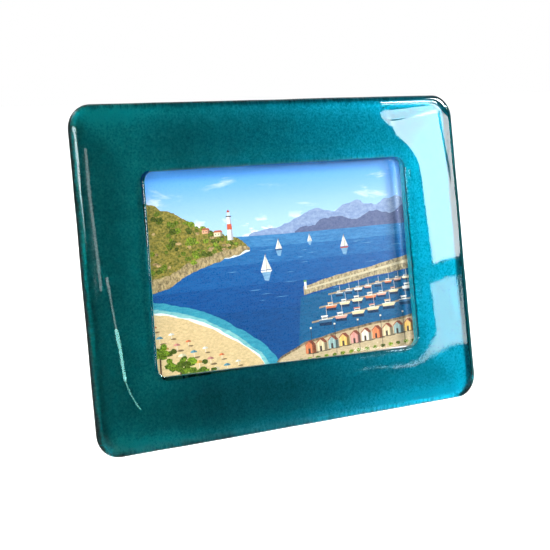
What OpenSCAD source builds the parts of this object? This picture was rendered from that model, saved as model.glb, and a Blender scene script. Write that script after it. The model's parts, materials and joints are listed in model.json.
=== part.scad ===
// Table-top photo frame: a thick glass surround with a hinged easel leg.
// Millimetres, +Z up. The frame faces -Y and leans back towards +Y. The origin
// is on the table, below the middle of the frame's whole depth.

/* [Print and window] */
// Width of the print that the frame holds
print_w = 152; // [90:1:260]
// Height of the print that the frame holds
print_h = 102; // [90:1:200]
// Thickness of the print
print_t = 0.3; // [0.2:0.05:0.6]
// Strip of the print that the glass hides at its left and right edges
lip_side = 3; // [2:0.5:6]
// Strip of the print that the glass hides at its top and bottom edges
lip_top = 3.5; // [2:0.5:6]

/* [Glass surround] */
// Width of the glass bars left and right of the window
bar_side = 33.5; // [22:0.5:60]
// Height of the glass bars above and below the window
bar_top = 31.5; // [22:0.5:60]
// Thickness of the glass at its slightly raised rim
rim_t = 5.25; // [4:0.25:8]
// Thickness of the glass across its flat face
face_t = 5; // [3.5:0.25:8]
// Thickness of the glass where it starts to round off at the window
window_t = 4.9; // [3.5:0.1:8]
// Radius of the surround's four outer corners
glass_corner_r = 11; // [5:0.5:20]
// Radius of the window's four corners
window_corner_r = 4.5; // [2:0.5:12]
// Thickness of the metal leaf behind the glass
leaf_t = 0.2; // [0.1:0.05:0.4]
// Border of bare glass around the leaf
leaf_border = 1.25; // [1:0.25:5]
// Border of bare glass between the leaf and the window
leaf_window_border = 0.75; // [0.5:0.25:3]
// Thickness of the felt that covers the leaf's back
felt_t = 0.5; // [0.3:0.1:1]

/* [Stance] */
// Angle at which the frame leans back from upright, in degrees
lean = 10.4; // [6:0.2:16]
// Angle between the open leg and the frame, in degrees
leg_open = 22; // [19:0.5:30]

/* [Rebate frame] */
// Width of the four strips that hold the pane and the back
strip_w = 12; // [9:0.5:16]
// Thickness of the adhesive between the strips and the glass
adhesive_t = 0.5; // [0.3:0.1:1]
// Width of the adhesive
adhesive_w = 9; // [6:0.5:9]
// Play of the pane, print and boards in the strips, all round
slip = 0.5; // [0.3:0.1:1]

/* [Pane and back] */
// Thickness of the clear pane
pane_t = 2; // [1.5:0.25:3]
// Thickness of the filler card
card_t = 1.2; // [0.6:0.1:2]
// Thickness of the back board
board_t = 3; // [2.5:0.25:5]
// Thickness of the velvet on the board and on the leg
velvet_t = 0.4; // [0.3:0.05:0.8]
// Radius of the boards' corners
board_corner_r = 1.5; // [1:0.5:4]

/* [Turn buttons] */
// Length of a button from its screw to its tip
button_reach = 11; // [10:0.5:14]
// Width of a button at its screw
button_w = 8; // [7:0.5:9]
// Width of a button at its tip
button_tip_w = 6; // [4:0.5:7]
// Thickness of a button
button_t = 0.9; // [0.6:0.1:1.5]
// Radius of the finger rib that is pressed into a button
rib_r = 0.6; // [0.4:0.1:0.9]
// Gap between a button and what it slides over
turn_gap = 0.1; // [0.05:0.05:0.3]
// Radial clearance of a button on its screw
screw_play = 0.06; // [0.04:0.01:0.1]
// Radius of a screw's shank
screw_r = 1.3; // [1:0.1:1.6]
// Radius of a screw's head
screw_head_r = 2.6; // [2.3:0.1:3]
// Height of a screw's head
screw_head_h = 1.2; // [1:0.1:2]
// Depth to which a screw bites into its strip
screw_bite = 5; // [3:0.5:6]
// Width of a screw's slot
slot_w = 0.7; // [0.5:0.1:1]
// Depth of a screw's slot
slot_d = 0.6; // [0.4:0.1:0.9]
// Distance of the upper two buttons from the middle
button_x_top = 40; // [25:1:50]
// Distance of the lower two buttons from the middle, clear of the leg
button_x_bottom = 48; // [44:1:52]

/* [Leg hinge] */
// Height of the hinge's axis above the middle of the window
hinge_rise = 34; // [20:1:34]
// Radius of the knuckles
knuckle_r = 1.7; // [1.5:0.1:2.2]
// Radius of the pin
pin_r = 0.8; // [0.6:0.05:1]
// Radial clearance of the pin in the knuckles
pin_play = 0.05; // [0.03:0.01:0.1]
// Radius of the pin's heads
pin_head_r = 1.3; // [1.1:0.1:1.5]
// Thickness of the pin's heads
pin_head_t = 0.6; // [0.4:0.1:1]
// Thickness of the two hinge leaves
hinge_t = 0.7; // [0.5:0.05:1]
// Length of the hinge along its pin
hinge_w = 30; // [24:1:36]
// Width of the leg leaf's middle knuckle
middle_knuckle_w = 12; // [8:0.5:16]
// Gap between knuckles, and around them
knuckle_gap = 0.25; // [0.2:0.05:0.5]
// Length of a hinge leaf from the axis
hinge_leaf_l = 14; // [11:0.5:16]
// Distance of the rivets from the axis
rivet_y = 9; // [7:0.5:10]
// Distance between the two rivets of a leaf
rivet_spacing = 18; // [12:0.5:22]
// Radius of a rivet's shank
rivet_r = 1.1; // [0.8:0.1:1.4]
// Radius of a rivet's head
rivet_head_r = 2.1; // [1.8:0.1:2.5]
// Height of a rivet's head
rivet_head_h = 0.8; // [0.6:0.1:1.2]

/* [Leg] */
// Width of the leg at the hinge
leg_top_w = 36; // [32:1:44]
// Width of the leg at its foot
leg_foot_w = 54; // [40:1:60]
// Thickness of the leg's board
leg_t = 2.2; // [2:0.1:4]
// Radius of the foot's corners
foot_r = 5; // [2:0.5:10]
// Gap between the folded leg and the back
fold_gap = 0.3; // [0.2:0.05:1]

/* [Stay] */
// Width of the ribbon
stay_w = 10; // [6:0.5:14]
// Thickness of the ribbon
stay_t = 0.5; // [0.3:0.05:0.8]
// Distance from the hinge to the ribbon's bend at the board
stay_drop_board = 52; // [40:1:58]
// Distance from the hinge to the ribbon's bend at the leg
stay_drop_leg = 62; // [60:1:75]
// Length of the ribbon's two stapled tabs
tab_l = 9; // [6:0.5:12]
// Gap between the ribbon and the leg, which moves
stay_gap = 0.3; // [0.2:0.05:0.4]
// Radius of the staple wire
staple_r = 0.35; // [0.25:0.05:0.45]
// Gap between a staple and the ribbon that it holds
staple_gap = 0.1; // [0.05:0.05:0.2]
// Depth to which a staple bites
staple_bite = 1.6; // [1:0.1:1.8]

/* [Hidden] */
$fn = 48;

window_w = print_w - 2 * lip_side;
window_h = print_h - 2 * lip_top;
glass_w = window_w + 2 * bar_side;
glass_h = window_h + 2 * bar_top;

// A bar's cross-section from the back's outer edge, over the front, to the
// window and back. Each row holds the share of the bar's width, and the shares
// of the rim's, the face's and the window edge's thickness.
bar_shares = [
    [0.03, 0, 0, 0], [0.009, 0.07, 0, 0], [0, 0.22, 0, 0], [0.001, 0.42, 0, 0],
    [0.012, 0.64, 0, 0], [0.034, 0.82, 0, 0], [0.066, 0.94, 0, 0],
    [0.1, 0.99, 0, 0], [0.13, 1, 0, 0], [0.155, 0.75, 0.25, 0],
    [0.185, 0.22, 0.78, 0], [0.22, 0, 0.99, 0], [0.3, 0, 1, 0], [0.5, 0, 1, 0],
    [0.7, 0, 0.67, 0.33], [0.88, 0, 0.1, 0.9], [0.918, 0, 0, 0.995],
    [0.945, 0, 0, 0.965], [0.968, 0, 0, 0.88], [0.986, 0, 0, 0.74],
    [0.997, 0, 0, 0.54], [1, 0, 0, 0.34], [0.996, 0, 0, 0.12], [0.98, 0, 0, 0]
];
// Steps of each quarter turn of the surround's corners
corner_steps = 8;
// Points of one ring around the surround
ring_points = 4 * (corner_steps + 1);
// Steps of each rounded corner of the leg's foot
foot_steps = 8;
// How far a cut runs past the face that it opens
overrun = 1;

// Depths behind the back of the glass, in the frame's own plane
leaf_z = -leaf_t;
pane_z = leaf_z - pane_t;
print_z = pane_z - print_t;
card_z = print_z - card_t;
board_z = card_z - board_t;
velvet_z = board_z - velvet_t;
felt_z = leaf_z - felt_t;
strip_front_z = felt_z - adhesive_t;
strip_z = velvet_z - turn_gap;
strip_depth = strip_front_z - strip_z;

// The strips' opening, and the pane and boards that lie in it
opening_w = print_w + 4 * slip;
opening_h = print_h + 4 * slip;
inset_w = opening_w - 2 * slip;
inset_h = opening_h - 2 * slip;
strip_mid_x = (opening_w + strip_w) / 2;
strip_mid_y = (opening_h + strip_w) / 2;

// Where each button's screw sits, and the way that its tip points
button_top_left = [-button_x_top, strip_mid_y, -90];
button_top_right = [button_x_top, strip_mid_y, -90];
button_bottom_left = [-button_x_bottom, -strip_mid_y, 90];
button_bottom_right = [button_x_bottom, -strip_mid_y, 90];
button_left = [-strip_mid_x, 0, 0];
button_right = [strip_mid_x, 0, 180];
button_places = [button_top_left, button_top_right, button_bottom_left,
    button_bottom_right, button_left, button_right];
button_front_z = strip_z - turn_gap;
button_back_z = button_front_z - button_t;
screw_seat_z = button_back_z - turn_gap;

// The hinge's axis, and the leg's faces measured from it towards the front
leg_stack = leg_t + velvet_t;
hinge_z = velvet_z - max(fold_gap + leg_stack + hinge_t - knuckle_r, knuckle_gap + knuckle_r);
leg_rear = hinge_t - knuckle_r;
leg_board_rear = leg_rear + velvet_t;
leg_front = leg_rear + leg_stack;
leg_head = knuckle_r + knuckle_gap;
bore_r = pin_r + pin_play;
side_knuckle_w = (hinge_w - middle_knuckle_w) / 2 - knuckle_gap;

// The surround's lowest and foremost points before the frame is set down
function bar_height(row) = row[1] * rim_t + row[2] * face_t + row[3] * window_t;
function bar_drop(row) = glass_h / 2 - row[0] * bar_top;
panel_z = -min([for (row = bar_shares) bar_height(row) * sin(lean) - bar_drop(row) * cos(lean)]);
front_y = min([for (row = bar_shares) -bar_height(row) * cos(lean) - bar_drop(row) * sin(lean)]);

// The leg's slope from upright, its length to the table and its rear foot edge
leg_slope = leg_open - lean;
hinge_world_y = hinge_rise * sin(lean) - hinge_z * cos(lean);
hinge_world_z = panel_z + hinge_rise * cos(lean) + hinge_z * sin(lean);
leg_l = (hinge_world_z + abs(leg_rear) * sin(leg_slope)) / cos(leg_slope);
rear_y = hinge_world_y + leg_l * sin(leg_slope) + abs(leg_rear) * cos(leg_slope);
panel_y = -(front_y + rear_y) / 2;
floor_size = 2 * (glass_w + glass_h);

// The ribbon's centre line and its two staples
tab_z = velvet_z - stay_t / 2;
tab_off = leg_front + stay_gap + stay_t / 2;
staple_reach = stay_t / 2 + staple_gap + staple_r;
staple_half = stay_w / 2 + staple_gap + staple_r;
board_staple_y = hinge_rise - stay_drop_board + tab_l / 2;
leg_staple_d = stay_drop_leg + tab_l / 2;

// Puts a shape that is drawn in the frame's plane at its lean on the table
module on_panel() {
    translate([0, panel_y, panel_z]) rotate([90 - lean, 0, 0]) children();
}

// Puts a shape that is drawn from the hinge's axis, with the leg down -Y and
// its front towards +Z, at the open leg's angle
module on_leg() {
    on_panel() translate([0, hinge_rise, hinge_z]) rotate([leg_open, 0, 0]) children();
}

// What lies below the table, to trim the foot level
module below_table() {
    translate([-floor_size / 2, -floor_size / 2, -floor_size])
        cube([floor_size, floor_size, floor_size]);
}

module rounded_rect(w, h, r) {
    square([w - 2 * r, h], center = true);
    square([w, h - 2 * r], center = true);
    for (x = [-1, 1], y = [-1, 1])
        translate([x * (w / 2 - r), y * (h / 2 - r)]) circle(r);
}

// A flat plate from one depth to a deeper one
module plate(w, h, r, front, back) {
    translate([0, 0, back]) linear_extrude(front - back) rounded_rect(w, h, r);
}

// One ring of the surround at a row of the cross-section
function surround_ring(row) =
    let (
        half_w = glass_w / 2 - row[0] * bar_side,
        half_h = glass_h / 2 - row[0] * bar_top,
        r = glass_corner_r + row[0] * (window_corner_r - glass_corner_r)
    )
    [for (corner = [0:3], step = [0:corner_steps])
        let (
            angle = 90 * (corner + step / corner_steps),
            side_x = corner == 0 || corner == 3 ? 1 : -1,
            side_y = corner < 2 ? 1 : -1
        )
        [side_x * (half_w - r) + r * cos(angle), side_y * (half_h - r) + r * sin(angle),
            bar_height(row)]
    ];

function ring_point(ring, i) = (ring % len(bar_shares)) * ring_points + i % ring_points;

module glass_surround() {
    points = [for (row = bar_shares) each surround_ring(row)];
    faces = [for (ring = [0:len(bar_shares) - 1], i = [0:ring_points - 1])
        each [
            [ring_point(ring, i), ring_point(ring + 1, i), ring_point(ring + 1, i + 1)],
            [ring_point(ring, i), ring_point(ring + 1, i + 1), ring_point(ring, i + 1)]
        ]
    ];
    color([0.02, 0.48, 0.56, 0.9]) on_panel() polyhedron(points, faces);
}

module silver_leaf() {
    color([0.55, 0.68, 0.72]) on_panel() difference() {
        plate(glass_w - 2 * leaf_border, glass_h - 2 * leaf_border,
            glass_corner_r - leaf_border, 0, leaf_z);
        plate(window_w + 2 * leaf_window_border, window_h + 2 * leaf_window_border,
            window_corner_r + leaf_window_border, overrun, leaf_z - overrun);
    }
}

module backing_felt() {
    color([0.06, 0.06, 0.07]) on_panel() difference() {
        plate(glass_w - 2 * leaf_border, glass_h - 2 * leaf_border,
            glass_corner_r - leaf_border, leaf_z, felt_z);
        translate([-opening_w / 2, -opening_h / 2, felt_z - overrun])
            cube([opening_w, opening_h, felt_t + 2 * overrun]);
    }
}

// A strip of the rebate frame, centred on its own middle
module strip(w, h) {
    translate([-w / 2, -h / 2, strip_z]) cube([w, h, strip_depth]);
}

// Pilot holes for the screws that sit in one strip
module screw_pilots() {
    for (place = button_places)
        translate([place[0], place[1], strip_z - overrun])
            cylinder(r = screw_r, h = screw_bite + overrun);
}

module adhesive_strips() {
    color([0.80, 0.78, 0.70]) on_panel() {
        for (side = [-1, 1]) {
            translate([-(opening_w + strip_w) / 2, side * strip_mid_y - adhesive_w / 2, strip_front_z])
                cube([opening_w + strip_w, adhesive_w, adhesive_t]);
            translate([side * strip_mid_x - adhesive_w / 2, -(opening_h - strip_w) / 2, strip_front_z])
                cube([adhesive_w, opening_h - strip_w, adhesive_t]);
        }
    }
}

module rebate_bar(side) {
    color([0.07, 0.07, 0.08]) on_panel() difference() {
        translate([0, side * strip_mid_y, 0]) strip(opening_w + 2 * strip_w, strip_w);
        screw_pilots();
    }
}

module rebate_post(side) {
    color([0.07, 0.07, 0.08]) on_panel() difference() {
        translate([side * strip_mid_x, 0, 0]) strip(strip_w, opening_h);
        screw_pilots();
    }
}

module rebate_top() { rebate_bar(1); }
module rebate_bottom() { rebate_bar(-1); }
module rebate_left() { rebate_post(-1); }
module rebate_right() { rebate_post(1); }

module clear_pane() {
    color([0.85, 0.93, 0.93, 0.35]) on_panel()
        translate([-inset_w / 2, -inset_h / 2, pane_z]) cube([inset_w, inset_h, pane_t]);
}

module photo_print() {
    color([0.60, 0.72, 0.70]) on_panel()
        translate([-print_w / 2, -print_h / 2, print_z]) cube([print_w, print_h, print_t]);
}

module filler_card() {
    color([0.88, 0.86, 0.80]) on_panel() plate(inset_w, inset_h, board_corner_r, print_z, card_z);
}

// The two rivets of a leaf, from one height to another, at a signed distance
// from the hinge's axis
module rivet_pair(y, r, from, to) {
    for (side = [-1, 1])
        translate([side * rivet_spacing / 2, y, from]) cylinder(r = r, h = to - from);
}

// The holes that the board leaf's rivets and the upper staple need
module board_holes() {
    translate([0, hinge_rise, 0])
        rivet_pair(rivet_y, rivet_r, velvet_z - overrun, card_z + overrun);
    staple_legs(board_staple_y, velvet_z + staple_bite, velvet_z - overrun);
}

module staple_legs(y, inner, outer) {
    for (side = [-1, 1])
        translate([side * staple_half, y, outer]) cylinder(r = staple_r, h = inner - outer);
}

module back_board() {
    color([0.33, 0.24, 0.17]) on_panel() difference() {
        plate(inset_w, inset_h, board_corner_r, card_z, board_z);
        board_holes();
    }
}

module back_velvet() {
    color([0.06, 0.06, 0.07]) on_panel() difference() {
        plate(inset_w, inset_h, board_corner_r, board_z, velvet_z);
        board_holes();
    }
}

// One knuckle, centred on the axis at a place along it
module knuckle(x, w) {
    translate([x - w / 2, 0, 0]) rotate([0, 90, 0]) cylinder(r = knuckle_r, h = w);
}

module hinge_bore() {
    translate([-hinge_w, 0, 0]) rotate([0, 90, 0]) cylinder(r = bore_r, h = 2 * hinge_w);
}

module side_knuckles() {
    for (side = [-1, 1]) knuckle(side * (hinge_w - side_knuckle_w) / 2, side_knuckle_w);
}

// The room that the other leaf's knuckles turn in
module knuckle_room(x, w) {
    translate([x - w / 2 - knuckle_gap, 0, 0]) rotate([0, 90, 0])
        cylinder(r = knuckle_r + knuckle_gap, h = w + 2 * knuckle_gap);
}

module hinge_leaf_board() {
    face = velvet_z - hinge_z;
    color([0.78, 0.78, 0.76]) on_panel() translate([0, hinge_rise, hinge_z]) difference() {
        union() {
            translate([-hinge_w / 2, 0, face - hinge_t]) cube([hinge_w, hinge_leaf_l, hinge_t]);
            for (side = [-1, 1])
                translate([side * (hinge_w - side_knuckle_w) / 2 - side_knuckle_w / 2,
                    knuckle_r - hinge_t, 0])
                    cube([side_knuckle_w, hinge_t, face]);
            side_knuckles();
        }
        hinge_bore();
        knuckle_room(0, middle_knuckle_w);
        rivet_pair(rivet_y, rivet_r, face - hinge_t - overrun, face + overrun);
    }
}

module hinge_pin() {
    color([0.70, 0.70, 0.70]) on_panel() translate([0, hinge_rise, hinge_z]) rotate([0, 90, 0]) {
        translate([0, 0, -hinge_w / 2]) cylinder(r = pin_r, h = hinge_w);
        for (side = [0, 1])
            mirror([0, 0, side]) translate([0, 0, hinge_w / 2])
                cylinder(r = pin_head_r, h = pin_head_t);
    }
}

// A rivet's domed head, on a face that looks towards -Z
module rivet_head() {
    dome_r = (rivet_head_r * rivet_head_r + rivet_head_h * rivet_head_h) / (2 * rivet_head_h);
    intersection() {
        translate([0, 0, dome_r - rivet_head_h]) sphere(dome_r);
        translate([0, 0, -rivet_head_h]) cylinder(r = rivet_head_r, h = rivet_head_h);
    }
}

// The pair of rivets, with heads on a face and shanks that reach in
module rivets(y, face, inner) {
    rivet_pair(y, rivet_r, face, inner);
    for (side = [-1, 1])
        translate([side * rivet_spacing / 2, y, face]) rivet_head();
}

module hinge_rivets_board() {
    color([0.82, 0.80, 0.76]) on_panel() translate([0, hinge_rise, 0])
        rivets(rivet_y, velvet_z - hinge_t, card_z);
}

// Each screw comes to rest at an angle of its own
function slot_angle(place) = place[0] + place[2];

module button_screws() {
    color([0.80, 0.79, 0.74]) on_panel() for (place = button_places)
        translate([place[0], place[1], 0]) difference() {
            union() {
                translate([0, 0, screw_seat_z])
                    cylinder(r = screw_r, h = strip_z + screw_bite - screw_seat_z);
                translate([0, 0, screw_seat_z - screw_head_h])
                    cylinder(r1 = screw_head_r - screw_head_h / 2, r2 = screw_head_r, h = screw_head_h);
            }
            rotate([0, 0, slot_angle(place)])
                translate([-screw_head_r, -slot_w / 2, screw_seat_z - screw_head_h - overrun])
                    cube([2 * screw_head_r, slot_w, slot_d + overrun]);
        }
}

// A stamped tab that narrows from its screw to its tip, with a finger rib
module button_shape() {
    half_w = button_w / 2;
    tip_half = button_tip_w / 2;
    tip_x = button_reach - tip_half;
    slope = asin((half_w - tip_half) / tip_x);
    difference() {
        union() {
            translate([0, 0, button_back_z]) linear_extrude(button_t) {
                circle(half_w);
                translate([tip_x, 0]) circle(tip_half);
                polygon([
                    half_w * [sin(slope), cos(slope)],
                    [tip_x + tip_half * sin(slope), tip_half * cos(slope)],
                    [tip_x + tip_half * sin(slope), -tip_half * cos(slope)],
                    half_w * [sin(slope), -cos(slope)]
                ]);
            }
            translate([tip_x, tip_half - rib_r, button_back_z]) rotate([90, 0, 0])
                cylinder(r = rib_r, h = button_tip_w - 2 * rib_r);
        }
        translate([0, 0, button_back_z - overrun])
            cylinder(r = screw_r + screw_play, h = button_t + 2 * overrun);
    }
}

module turn_button(place) {
    color([0.86, 0.85, 0.80]) on_panel()
        translate([place[0], place[1], 0]) rotate([0, 0, place[2]]) intersection() {
            button_shape();
            translate([-button_w, -button_w, button_back_z - rib_r])
                cube([button_reach + 2 * button_w, 2 * button_w, button_t + rib_r]);
        }
}

module turn_button_top_left() { turn_button(button_top_left); }
module turn_button_top_right() { turn_button(button_top_right); }
module turn_button_bottom_left() { turn_button(button_bottom_left); }
module turn_button_bottom_right() { turn_button(button_bottom_right); }
module turn_button_left() { turn_button(button_left); }
module turn_button_right() { turn_button(button_right); }

// The leg's outline: it widens to a foot with rounded corners
module leg_outline() {
    head_half = leg_top_w / 2;
    foot_half = leg_foot_w / 2;
    flare = atan((foot_half - head_half) / (leg_l - leg_head));
    round_y = foot_r - leg_l;
    round_x = foot_half - foot_r * tan(flare) - foot_r / cos(flare);
    right = [
        [head_half, -leg_head],
        for (step = [0:foot_steps])
            let (angle = flare - step * (90 + flare) / foot_steps)
            [round_x + foot_r * cos(angle), round_y + foot_r * sin(angle)]
    ];
    last = len(right) - 1;
    polygon([each right, for (i = [0:last]) [-right[last - i][0], right[last - i][1]]]);
}

// A layer of the leg between two heights over the hinge's axis
module leg_layer(rear, front) {
    difference() {
        on_leg() translate([0, 0, rear]) linear_extrude(front - rear) leg_outline();
        on_leg() rivet_pair(-rivet_y, rivet_r, rear - overrun, front + overrun);
        below_table();
    }
}

module easel_leg() {
    color([0.10, 0.10, 0.11]) difference() {
        leg_layer(leg_board_rear, leg_front);
        on_leg() staple_legs(-leg_staple_d, leg_front + overrun, leg_front - staple_bite);
    }
}

module leg_velvet() {
    color([0.06, 0.06, 0.07]) leg_layer(leg_rear, leg_board_rear);
}

module hinge_leaf_leg() {
    color([0.78, 0.78, 0.76]) on_leg() difference() {
        union() {
            translate([-hinge_w / 2, -hinge_leaf_l, leg_rear - hinge_t])
                cube([hinge_w, hinge_leaf_l, hinge_t]);
            knuckle(0, middle_knuckle_w);
        }
        hinge_bore();
        for (side = [-1, 1])
            knuckle_room(side * (hinge_w - side_knuckle_w) / 2, side_knuckle_w);
        rivet_pair(-rivet_y, rivet_r, leg_rear - hinge_t - overrun, leg_rear + overrun);
    }
}

module hinge_rivets_leg() {
    color([0.82, 0.80, 0.76]) on_leg() rivets(-rivet_y, leg_rear - hinge_t, leg_front);
}

// A point of the frame's side view that is a distance down the open leg and
// an offset towards its front
function leg_point(down, off) = [
    hinge_rise - down * cos(leg_open) - off * sin(leg_open),
    hinge_z - down * sin(leg_open) + off * cos(leg_open)
];

// The square-on direction of a run of the side view's path
function run_normal(path, i) =
    let (along = path[i + 1] - path[i])
    [-along[1], along[0]] / norm(along);

// The mitred offset of the path's point i for a thickness to one side
function mitre(path, i, off) =
    let (
        last = len(path) - 1,
        before = run_normal(path, max(i - 1, 0)),
        after = run_normal(path, min(i, last - 1))
    )
    path[i] + off * (before + after) / (1 + before * after);

module stay_ribbon() {
    path = [
        [hinge_rise - stay_drop_board + tab_l, tab_z],
        [hinge_rise - stay_drop_board, tab_z],
        leg_point(stay_drop_leg, tab_off),
        leg_point(stay_drop_leg + tab_l, tab_off)
    ];
    last = len(path) - 1;
    color([0.09, 0.09, 0.10]) on_panel() translate([-stay_w / 2, 0, 0]) rotate([90, 0, 90])
        linear_extrude(stay_w) polygon([
            for (i = [0:last]) mitre(path, i, stay_t / 2),
            for (i = [0:last]) mitre(path, last - i, -stay_t / 2)
        ]);
}

// A staple that bridges the ribbon: its crown at one height, its legs to another
module staple(y, crown, inner) {
    low = min(crown, inner);
    for (side = [-1, 1]) {
        translate([side * staple_half, y, low]) cylinder(r = staple_r, h = abs(crown - inner));
        translate([side * staple_half, y, crown]) sphere(staple_r);
    }
    translate([-staple_half, y, crown]) rotate([0, 90, 0])
        cylinder(r = staple_r, h = 2 * staple_half);
}

module stay_staple_board() {
    color([0.75, 0.75, 0.73]) on_panel()
        staple(board_staple_y, tab_z - staple_reach, velvet_z + staple_bite);
}

module stay_staple_leg() {
    color([0.75, 0.75, 0.73]) on_leg()
        staple(-leg_staple_d, tab_off + staple_reach, leg_front - staple_bite);
}

glass_surround();
silver_leaf();
backing_felt();
adhesive_strips();
rebate_top();
rebate_bottom();
rebate_left();
rebate_right();
clear_pane();
photo_print();
filler_card();
back_board();
back_velvet();
hinge_leaf_board();
hinge_pin();
hinge_rivets_board();
button_screws();
stay_ribbon();
stay_staple_board();
turn_button_top_left();
turn_button_top_right();
turn_button_bottom_left();
turn_button_bottom_right();
turn_button_left();
turn_button_right();
easel_leg();
leg_velvet();
hinge_leaf_leg();
hinge_rivets_leg();
stay_staple_leg();
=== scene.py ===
"""The looks of a table-top glass picture frame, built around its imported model. Metres, +Z up."""

import json
import math
import random

import bpy
from mathutils import Matrix, Vector, geometry, noise


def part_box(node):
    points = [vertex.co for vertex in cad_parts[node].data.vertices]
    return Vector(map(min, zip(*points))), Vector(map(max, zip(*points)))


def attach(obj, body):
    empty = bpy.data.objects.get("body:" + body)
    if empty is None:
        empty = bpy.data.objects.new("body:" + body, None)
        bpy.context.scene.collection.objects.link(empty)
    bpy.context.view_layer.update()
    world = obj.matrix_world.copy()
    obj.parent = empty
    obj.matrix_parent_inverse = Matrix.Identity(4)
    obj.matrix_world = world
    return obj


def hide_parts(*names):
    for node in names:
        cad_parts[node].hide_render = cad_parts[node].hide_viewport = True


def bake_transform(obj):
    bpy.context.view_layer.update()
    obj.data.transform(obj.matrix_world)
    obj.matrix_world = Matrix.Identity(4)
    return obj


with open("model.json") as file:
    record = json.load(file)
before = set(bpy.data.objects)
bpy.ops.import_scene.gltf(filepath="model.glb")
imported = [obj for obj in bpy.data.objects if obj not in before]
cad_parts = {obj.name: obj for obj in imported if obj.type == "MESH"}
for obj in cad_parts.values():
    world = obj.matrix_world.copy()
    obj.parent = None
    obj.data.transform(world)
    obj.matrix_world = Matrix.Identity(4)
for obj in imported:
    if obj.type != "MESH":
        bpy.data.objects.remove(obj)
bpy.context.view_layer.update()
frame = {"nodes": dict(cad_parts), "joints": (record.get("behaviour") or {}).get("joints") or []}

MM = 0.001
WHITE = (1.0, 1.0, 1.0, 1.0)

# The picture's own plane: x to the right, y up along the leaning glass, z towards the viewer
JOINTS = {joint["name"]: joint for joint in frame["joints"]}
NORMAL = -Vector(JOINTS["button_left_turn"]["axis"])
if NORMAL.y > 0:
    NORMAL = -NORMAL
ACROSS = Vector((1.0, 0.0, 0.0))
UPWARD = NORMAL.cross(ACROSS)
LEAF_T = 0.2 * MM
PANE_T = 2.0 * MM


def middle(node):
    """The middle of a CAD node's box."""
    low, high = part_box(node)
    return (low + high) / 2


PANEL_ORIGIN = middle("clear_pane") + NORMAL * (LEAF_T + PANE_T / 2)
PANEL = Matrix.Translation(PANEL_ORIGIN) @ Matrix((ACROSS, UPWARD, NORMAL)).transposed().to_4x4()

# The glass surround, as in the CAD source
GLASS_W = 213 * MM
GLASS_H = 158 * MM
WINDOW_W = 146 * MM
WINDOW_H = 95 * MM
WINDOW_CORNER_R = 4.5 * MM
BAR_SIDE = (GLASS_W - WINDOW_W) / 2
BAR_TOP = (GLASS_H - WINDOW_H) / 2
# The slab's thickness over its flat face and at the window's edge, and the film that bonds it to the leaf
FACE_T = 5.0 * MM
WINDOW_T = 4.86 * MM
BOND_GAP = 0.03 * MM

# Each point of the bar's section: share across it, share of the full height there, share of the window's
# thickness in that height
BAR_SHARES = [
    (0.03, 0, 0), (0.009, 0.07, 0), (0, 0.22, 0), (0.001, 0.42, 0),
    (0.01, 0.66, 0), (0.028, 0.84, 0), (0.052, 0.945, 0), (0.082, 0.988, 0),
    (0.115, 1, 0), (0.15, 1, 0), (0.19, 1, 0), (0.23, 1, 0),
    (0.3, 1, 0), (0.5, 1, 0), (0.7, 1, 0.33), (0.88, 1, 0.9),
    (0.94, 1, 1), (0.954, 0.996, 1), (0.972, 0.975, 1), (0.984, 0.945, 1),
    (0.993, 0.88, 1), (0.998, 0.78, 1), (1, 0.62, 1), (1, 0.3, 1),
    (0.998, 0.08, 1), (0.99, 0, 1),
]
# Which of these points the window's wall starts at, and the steps between two of them
WALL_START = 21
SECTION_STEPS = 4
# The steps of each ring of points along a straight run and round a corner
RUN_STEPS = 42
CORNER_STEPS = 14


def between(a, b, t):
    """The value a share t of the way from a to b."""
    return a + (b - a) * t


def bar_section():
    """The bar's section, from its outer bottom edge over the face to the window: (share across, height)."""
    points = [Vector((across, tall * between(FACE_T, WINDOW_T, inner))) for across, tall, inner in BAR_SHARES]
    points = [points[0], *points, points[-1]]
    section = []
    for before, start, end, after in zip(points, points[1:], points[2:], points[3:]):
        handles = (start + (end - before) / 6, end - (after - start) / 6)
        section += geometry.interpolate_bezier(start, *handles, end, SECTION_STEPS + 1)[:-1]
    return [(p.x, max(0.0, p.y)) for p in (*section, points[-1])]


def ring_path(half_w, half_h, radius):
    """Points round a rounded rectangle, anticlockwise from the right end of its upper right corner."""
    arcs = []
    for quarter, (right, up) in enumerate(((1, 1), (-1, 1), (-1, -1), (1, -1))):
        x = right * (half_w - radius)
        y = up * (half_h - radius)
        angles = [math.radians(90 * quarter + 90 * step / CORNER_STEPS) for step in range(CORNER_STEPS + 1)]
        arcs.append([Vector((x + radius * math.cos(a), y + radius * math.sin(a))) for a in angles])
    path = []
    for arc, following in zip(arcs, arcs[1:] + arcs[:1]):
        path += arc
        path += [arc[-1].lerp(following[0], step / RUN_STEPS) for step in range(1, RUN_STEPS)]
    return path


def loft_faces(rows, around, closed=False):
    """The faces between rings of points; if closed, the last ring is joined to the first."""
    faces = []
    for row in range(rows if closed else rows - 1):
        here = row * around
        following = (row + 1) % rows * around
        for column in range(around):
            beside = (column + 1) % around
            faces.append((here + column, here + beside, following + beside, following + column))
    return faces


def mesh_object(name, vertices, faces, world=None, smooth=True):
    """A new mesh object from vertices in its own frame, placed by a matrix."""
    mesh = bpy.data.meshes.new(name)
    mesh.from_pydata([tuple(v) for v in vertices], [], faces)
    mesh.validate()
    mesh.polygons.foreach_set("use_smooth", [smooth] * len(mesh.polygons))
    mesh.update()
    piece = bpy.data.objects.new(name, mesh)
    bpy.context.scene.collection.objects.link(piece)
    if world is not None:
        piece.matrix_world = world
    return piece


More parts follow.
